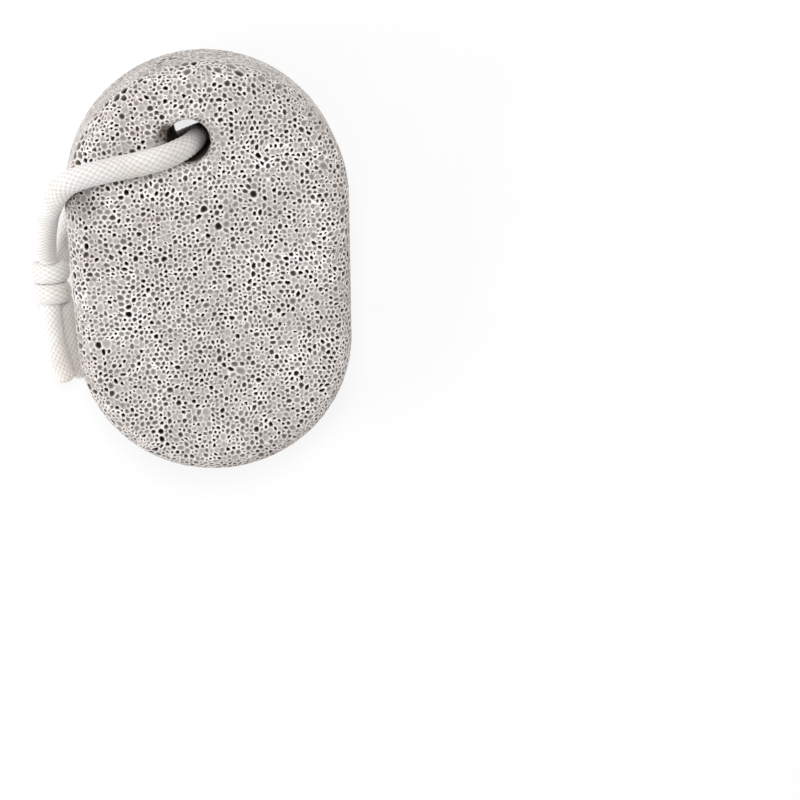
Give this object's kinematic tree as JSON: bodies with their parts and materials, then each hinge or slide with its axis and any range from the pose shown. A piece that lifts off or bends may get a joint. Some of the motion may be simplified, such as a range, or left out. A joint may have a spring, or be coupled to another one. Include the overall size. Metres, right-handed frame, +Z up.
{
  "type": "pumice stone",
  "caption": "Flat oval foot pumice with rounded edges, open pits all over and a hole near one end, with a white braided cord looped through it and knotted.",
  "frame": {"origin": "on the surface that the stone lies on, under the middle of the stone's box", "axes": "+Y along the stone towards the end with the hole, +X to the stone's right, away from the knot, +Z up"},
  "size_m": [0.0743, 0.0958, 0.0361],
  "materials": {
    "pumice": "sawn and tumbled pale grey pumice, matt, with open gas pits",
    "braided_cord": "white soft braided cord"
  },
  "bodies": {
    "root": {"stone": "pumice", "cord": "braided_cord", "knot": "braided_cord", "cord_end_upper": "braided_cord", "cord_end_lower": "braided_cord"}
  },
  "joints": []
}
